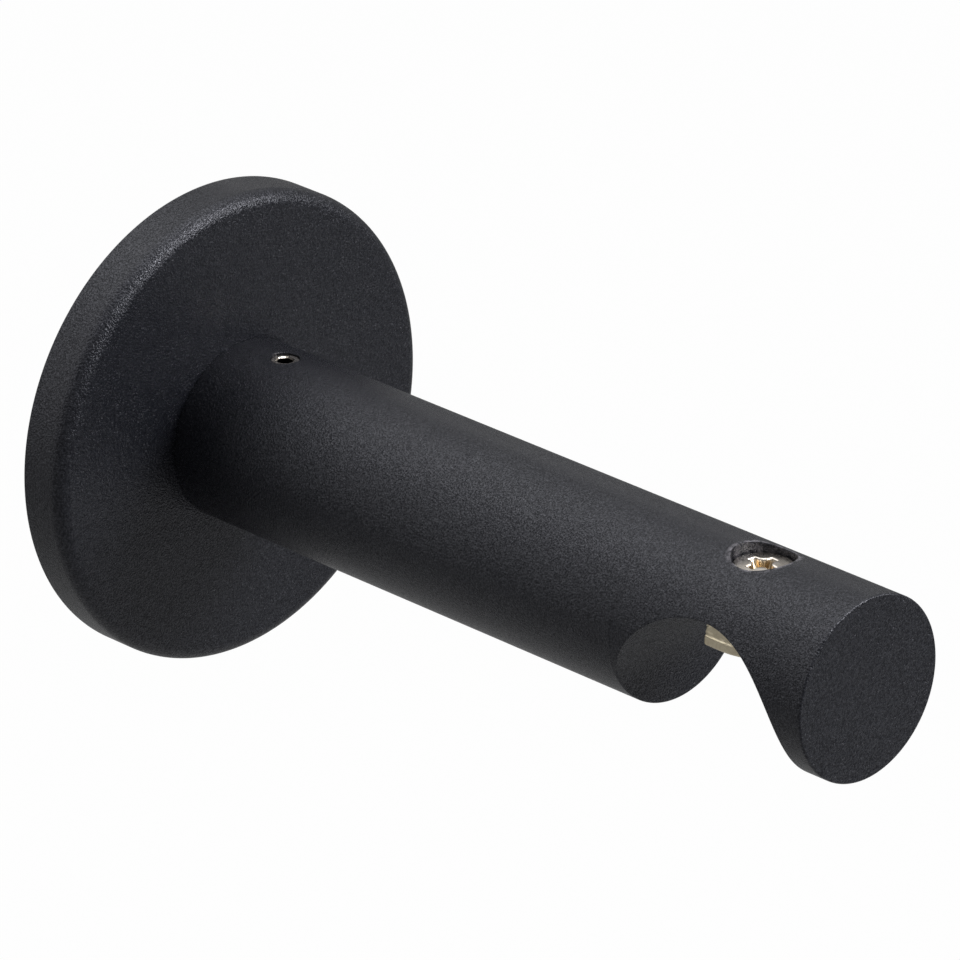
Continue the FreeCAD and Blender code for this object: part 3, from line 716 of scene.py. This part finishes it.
clamp_nut = build("bracket_clamp_nut", [
    ring(stack(nut_loops, nut_height, SEAT_Y)),
    ring(stack(blend_rings(nut_loops[-1], nut_rim, 6), np.full(6, NUT_TOP), SEAT_Y)),
    ring(stack(blend_rings(nut_loops[0], nut_rim, 6), np.full(6, NUT_FOOT), SEAT_Y)),
    ring(stack(discs(nut_angles, [NUT_HOLE] * 4), np.linspace(NUT_FOOT, NUT_TOP, 4), SEAT_Y)),
], sharp=32)
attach(clamp_nut, "nut")
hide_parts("clamp_nut")

# %% [markdown]
# ## Materials
# Each finish is named for what it is and how it was made. Colours are written as sRGB hex values and turned
# to linear light in one place. Patterns read Object coordinates, which are metres, so a pattern's scale is
# one over its size in metres.

# %% Colours and nodes
def linear(hex_colour):
    """An sRGB hex colour as linear RGBA: c / 12.92 when dark, otherwise ((c + 0.055) / 1.055) ^ 2.4."""
    c = np.array([int(hex_colour[i:i + 2], 16) for i in (1, 3, 5)]) / 255
    return tuple(np.where(c <= 0.04045, c / 12.92, ((c + 0.055) / 1.055) ** 2.4)) + (1.0,)


def add(tree, kind, sockets=None, **settings):
    """Adds a node. settings are its own properties; sockets gives each input a value or another's output."""
    node = tree.nodes.new(kind)
    for name, value in settings.items():
        setattr(node, name, value)
    for name, value in (sockets or {}).items():
        if isinstance(value, bpy.types.NodeSocket):
            tree.links.new(value, node.inputs[name])
        else:
            node.inputs[name].default_value = value
    return node


def start_material(name):
    """An empty material, its node tree, and the Object coordinates that its patterns read."""
    material = bpy.data.materials.new(name)
    material.use_nodes = True
    tree = material.node_tree
    tree.nodes.clear()
    return material, tree, add(tree, "ShaderNodeTexCoord").outputs["Object"]


def per_metre(millimetres):
    """A pattern's scale from its size in millimetres."""
    return 1 / (millimetres * MM)


print("mid grey in linear light:", round(float(linear("#808080")[0]), 3))

# %% [markdown]
# ### Black powder coat
# Polyester powder is sprayed on dry and melted in an oven. It doesn't flow out quite flat, so the skin keeps
# fine pebbles of about a quarter of a millimetre, with a finer grain on top. The binder is a clear
# dielectric, IOR about 1.5, over carbon black: near black in itself, and grey wherever its semi-matte skin
# meets a light. The pits between the pebbles lie in each other's shade, so they shine less than the tops.
# Where the piece's rim mark is above zero, the coat is lightened to grey in patches: a painted highlight.
# The real grain is finer still. It is drawn at 0.13 mm, about one pixel of the picture, because less than
# that won't show.

# %% Powder coat
PEBBLE, PEBBLE_BUMP = 0.25, 0.14
GRAIN, GRAIN_BUMP = 0.13, 0.04
RIM_HIGHLIGHT_PATCH = 1.1
ROUGH_FROM, ROUGH_TO = 0.23, 0.29
PIT_SHINE, TOP_SHINE = 0.25, 0.68


def powder_coat():
    """Two noises as bump, one for the pebbles and one for the grain, under a semi-matte dielectric skin."""
    material, tree, place = start_material("black polyester powder coat, sprayed and baked")
    pebbles = add(tree, "ShaderNodeTexNoise", {
        "Vector": place, "Scale": per_metre(PEBBLE), "Detail": 1.5, "Roughness": 0.55})
    grain = add(tree, "ShaderNodeTexNoise", {
        "Vector": place, "Scale": per_metre(GRAIN), "Detail": 1.0, "Roughness": 0.5})
    # The pebbles' pits are coloured darker than their tops: partly the coat's own random tone, partly painted
    # shade.
    tone = add(tree, "ShaderNodeValToRGB", {"Fac": pebbles.outputs["Fac"]})
    dark, light = tone.color_ramp.elements
    dark.position, dark.color = 0.35, linear("#0d0e13")
    light.position, light.color = 0.65, linear("#181a20")
    painted_rim_highlight = add(tree, "ShaderNodeAttribute", attribute_name="painted_rim_highlight")
    highlight_patches = add(tree, "ShaderNodeTexNoise", {"Vector": place, "Scale": per_metre(RIM_HIGHLIGHT_PATCH), "Detail": 2.0})
    highlight_patchiness = add(tree, "ShaderNodeMapRange", {
        "Value": highlight_patches.outputs["Fac"], "From Min": 0.42, "From Max": 0.62})
    share = add(tree, "ShaderNodeMath", {
        0: painted_rim_highlight.outputs["Fac"], 1: highlight_patchiness.outputs["Result"]}, operation="MULTIPLY")
    # The Mix node's colour inputs are numbers 6 and 7, and its colour output is number 2.
    # The grey is a painted highlight, laid on in patches where the rim mark is above zero.
    colour = add(tree, "ShaderNodeMix", {
        0: share.outputs[0], 6: tone.outputs["Color"], 7: linear("#858288")}, data_type="RGBA")
    rough = add(tree, "ShaderNodeMapRange", {
        "Value": grain.outputs["Fac"], "From Min": 0.3, "From Max": 0.7,
        "To Min": ROUGH_FROM, "To Max": ROUGH_TO})
    shine = add(tree, "ShaderNodeMapRange", {
        "Value": pebbles.outputs["Fac"], "From Min": 0.38, "From Max": 0.66,
        "To Min": PIT_SHINE, "To Max": TOP_SHINE})
    coarse = add(tree, "ShaderNodeBump", {
        "Height": pebbles.outputs["Fac"], "Strength": 1.0, "Distance": PEBBLE_BUMP * MM})
    fine = add(tree, "ShaderNodeBump", {
        "Height": grain.outputs["Fac"], "Strength": 1.0, "Distance": GRAIN_BUMP * MM,
        "Normal": coarse.outputs["Normal"]})
    skin = add(tree, "ShaderNodeBsdfPrincipled", {
        "Base Color": colour.outputs[2], "Roughness": rough.outputs["Result"], "IOR": 1.5,
        "Normal": fine.outputs["Normal"], "Specular IOR Level": shine.outputs["Result"],
        "Specular Tint": linear("#f3f4ff")})
    add(tree, "ShaderNodeOutputMaterial", {"Surface": skin.outputs["BSDF"]})
    return material


black_coat = powder_coat()
print("coat:", black_coat.name)

# %% [markdown]
# ### Plated steel
# Nickel is plated on the steel in a thin bright layer with a warm grey colour, and it shows the drawing and
# tumbling marks of the steel under it. The nut is barrel plated after blanking, so it is duller. The hidden
# plate, its stud and the stud's screw are zinc plated, which is bluer and greyer. The marks are drawn at
# 0.6 to 1.5 mm with finer ones inside them, coarser than real scratches, so that they show. The cross
# recess is painted a warmer, darker tone where the mark recess is 1, a painted reflection and shade, and the
# set screw's deep socket is painted nearly black, a painted shade.

# %% Plated metals
ROUGH_SPAN = 0.06


def plated(name, light, dark, roughness, mark_size, mark_depth, shade=None):
    """A metal whose colour and roughness wander with marks of that size and depth in mm.
    shade is a colour of painted shade, with painted reflection in the cross recess, that it takes where the
    piece's own mark recess is 1."""
    material, tree, place = start_material(name)
    marks = add(tree, "ShaderNodeTexNoise", {
        "Vector": place, "Scale": per_metre(mark_size), "Detail": 4.0, "Roughness": 0.6})
    tone = add(tree, "ShaderNodeValToRGB", {"Fac": marks.outputs["Fac"]})
    low, high = tone.color_ramp.elements
    low.position, low.color = 0.3, linear(dark)
    high.position, high.color = 0.65, linear(light)
    colour = tone.outputs["Color"]
    if shade:
        recess_shade_share = add(tree, "ShaderNodeAttribute", attribute_name="recess")
        mixed = add(tree, "ShaderNodeMix", {
            0: recess_shade_share.outputs["Fac"], 6: colour, 7: linear(shade)}, data_type="RGBA")
        colour = mixed.outputs[2]
    rough = add(tree, "ShaderNodeMapRange", {
        "Value": marks.outputs["Fac"],
        "To Min": roughness - ROUGH_SPAN, "To Max": roughness + ROUGH_SPAN})
    bump = add(tree, "ShaderNodeBump", {
        "Height": marks.outputs["Fac"], "Strength": 1.0, "Distance": mark_depth * MM})
    skin = add(tree, "ShaderNodeBsdfPrincipled", {
        "Base Color": colour, "Roughness": rough.outputs["Result"], "Metallic": 1.0,
        "Normal": bump.outputs["Normal"]})
    add(tree, "ShaderNodeOutputMaterial", {"Surface": skin.outputs["BSDF"]})
    return material


# The shade colours below are painted: warm reflection and shade in the cross recess, and shade in the socket.
bright_nickel = plated("bright nickel plating on a cold-headed screw",
                       "#e2dbd2", "#c9c1b6", 0.24, 0.7, 0.006, shade="#b9a88d")
socket_nickel = plated("bright nickel plating on a socket set screw",
                       "#cfc8bf", "#b3aba0", 0.2, 0.7, 0.006, shade="#1e1c1a")
barrel_nickel = plated("barrel nickel plating on blanked steel", "#e9dec3", "#d8cbb0", 0.32, 0.6, 0.006)
zinc = plated("clear zinc plating on steel", "#c3c8cc", "#aab0b6", 0.34, 1.5, 0.006)
FINISHES = {
    arm: black_coat, rosette: black_coat,
    clamp_screw: bright_nickel, set_screw: socket_nickel, clamp_nut: barrel_nickel,
    nodes["wall_plate"]: zinc, nodes["spigot"]: zinc, nodes["spigot_screw"]: zinc,
}
for piece, finish in FINISHES.items():
    piece.data.materials.clear()
    piece.data.materials.append(finish)
print("finishes:", len({m.name for m in FINISHES.values()}))

# %% [markdown]
# ## The studio
# The bracket hangs over a plain pale floor, as a wall bracket does in a product photograph. The camera sees
# the floor as white through Light Path's Is Camera Ray, and not through more light on the bracket. To every
# other ray the floor is matt paint, with a small share of the white for mirror and glass rays.

# %% The floor
FLOOR_Z = -0.30
FLOOR_HALF = 6
SEEN_WHITE, MIRROR_WHITE = 0.985, 0.04
floor_mesh = bpy.data.meshes.new("floor")
floor_points = FLOOR_HALF * np.array([(-1, -1, 0), (1, -1, 0), (1, 1, 0), (-1, 1, 0)]) + (0, 0, FLOOR_Z)
floor_mesh.from_pydata(floor_points.tolist(), [], [(0, 1, 2, 3)])
floor = bpy.data.objects.new("floor", floor_mesh)
bpy.context.scene.collection.objects.link(floor)

floor_paint, tree, _ = start_material("pale matt floor paint")
path = add(tree, "ShaderNodeLightPath")
mirrored = add(tree, "ShaderNodeMath", {
    0: path.outputs["Is Glossy Ray"], 1: path.outputs["Is Transmission Ray"]}, operation="MAXIMUM")
in_mirrors = add(tree, "ShaderNodeMath", {0: mirrored.outputs[0], 1: MIRROR_WHITE}, operation="MULTIPLY")
direct = add(tree, "ShaderNodeMath", {
    0: path.outputs["Is Camera Ray"], 1: SEEN_WHITE}, operation="MULTIPLY")
share = add(tree, "ShaderNodeMath", {0: direct.outputs[0], 1: in_mirrors.outputs[0]}, operation="ADD")
matt = add(tree, "ShaderNodeBsdfDiffuse", {"Color": linear("#ababab")})
glow = add(tree, "ShaderNodeEmission", {"Color": (1, 1, 1, 1), "Strength": 1.0})
both = add(tree, "ShaderNodeMixShader", {0: share.outputs[0], 1: matt.outputs[0], 2: glow.outputs[0]})
add(tree, "ShaderNodeOutputMaterial", {"Surface": both.outputs[0]})
floor_mesh.materials.append(floor_paint)
print("the floor lies", FLOOR_Z, "m from the bracket's axis")

# %% [markdown]
# The world is white to the camera. Mirror and glass rays see a tent whose brightness changes with height:
# fairly light at the horizon, dim above it and white overhead, which is what shades a round black bar from
# side to side. Matt surfaces get a weak even fill from it.

# %% The world
FILL = 0.17
TENT = ((0.02, 0.62), (0.1, 0.42), (0.3, 0.16), (0.4, 0.25), (0.6, 0.7), (0.70, 1))
world = bpy.data.worlds.new("studio")
bpy.context.scene.world = world
world.use_nodes = True
tree = world.node_tree
tree.nodes.clear()
path = add(tree, "ShaderNodeLightPath")
seen = add(tree, "ShaderNodeMath", {
    0: path.outputs["Is Camera Ray"], 1: path.outputs["Is Glossy Ray"]}, operation="MAXIMUM")
seen = add(tree, "ShaderNodeMath", {
    0: seen.outputs[0], 1: path.outputs["Is Transmission Ray"]}, operation="MAXIMUM")
direction = add(tree, "ShaderNodeTexCoord").outputs["Generated"]
height = add(tree, "ShaderNodeSeparateXYZ", {"Vector": direction})
tent = add(tree, "ShaderNodeValToRGB", {"Fac": height.outputs["Z"]})
stops = tent.color_ramp.elements
stops[0].position, stops[1].position = TENT[0][0], TENT[-1][0]
for height_share, _ in TENT[1:-1]:
    stops.new(height_share)
for stop, (_, grey) in zip(stops, TENT):
    stop.color = (grey, grey, grey, 1)
level = add(tree, "ShaderNodeMath", {
    0: tent.outputs["Color"], 1: path.outputs["Is Camera Ray"]}, operation="MAXIMUM")
fill = add(tree, "ShaderNodeBackground", {"Color": (1, 1, 1, 1), "Strength": FILL})
white = add(tree, "ShaderNodeBackground", {"Color": (1, 1, 1, 1), "Strength": level.outputs[0]})
both = add(tree, "ShaderNodeMixShader", {0: seen.outputs[0], 1: fill.outputs[0], 2: white.outputs[0]})
add(tree, "ShaderNodeOutputWorld", {"Surface": both.outputs[0]})
print("the tent's levels:", [(round(s.position, 2), round(s.color[0], 2)) for s in stops])

# %% [markdown]
# Four softboxes stand about 0.9 m from the middle of the arm. The one in front on the right draws the light
# line on the rosette's round, the one behind draws the broad band along the top of the arm, the one by the
# wall lights the arm's left side, and the one above fills the screw's recess.

# %% The lamps
AIM = (0, -0.06, 0)


def softbox(name, place, width, height, watts):
    """A rectangular area lamp at place that faces the bracket, all in metres."""
    lamp = bpy.data.lights.new(name, "AREA")
    lamp.shape = "RECTANGLE"
    lamp.size, lamp.size_y, lamp.energy = width, height, watts
    stand = bpy.data.objects.new(name, lamp)
    stand.location = place
    stand.rotation_euler = (Vector(AIM) - Vector(place)).to_track_quat("-Z", "Y").to_euler()
    bpy.context.scene.collection.objects.link(stand)


softbox("top softbox", (0.18, -0.04, 0.88), 0.45, 0.45, 2.2)
softbox("right softbox", (0.404, -0.707, 0.477), 0.4, 0.4, 8.5)
softbox("back softbox", (-0.10, 0.56, 0.62), 0.7, 0.5, 1.3)
softbox("wall softbox", (-0.628, 0.547, 0.218), 0.7, 0.6, 1.1)
print("lamps:", ", ".join(sorted(lamp.name for lamp in bpy.data.lights)))

# %% [markdown]
# ## The camera
# The view looks at the bracket from its free end, from the left and from above. The angles and the distance
# come from fitting a plain pinhole camera to the outline of the rosette, the bar and the seat.

# %% Camera
AZIMUTH, ELEVATION, ROLL = np.radians([-45.318, 23.171, 1.190])
LOOK_AT = np.array([0, -0.075, 0])
DISTANCE = 1.06442
SHIFT_RIGHT, SHIFT_UP = -0.016301, 0.012782
FOCAL_PIXELS, IMAGE_PIXELS, SENSOR_MM = 8326.64, 960, 36
back = np.array([
    math.sin(AZIMUTH) * math.cos(ELEVATION), -math.cos(AZIMUTH) * math.cos(ELEVATION), math.sin(ELEVATION)])
level = np.array([math.cos(AZIMUTH), math.sin(AZIMUTH), 0])
upright = np.cross(back, level)
right = level * math.cos(ROLL) + upright * math.sin(ROLL)
up = -level * math.sin(ROLL) + upright * math.cos(ROLL)
eye = LOOK_AT + back * DISTANCE + right * SHIFT_RIGHT + up * SHIFT_UP
camera_data = bpy.data.cameras.new("camera")
camera_data.sensor_width = SENSOR_MM
camera_data.lens = FOCAL_PIXELS * SENSOR_MM / IMAGE_PIXELS
camera_data.clip_start, camera_data.clip_end = 0.01, 100
camera = bpy.data.objects.new("camera", camera_data)
columns = [np.append(right, 0), np.append(up, 0), np.append(back, 0), np.append(eye, 1)]
camera.matrix_world = Matrix(np.column_stack(columns).tolist())
bpy.context.scene.collection.objects.link(camera)
bpy.context.scene.camera = camera
bpy.context.scene.view_settings.view_transform = "Standard"
print("camera at", eye.round(4), "lens", round(camera_data.lens, 2), "mm")
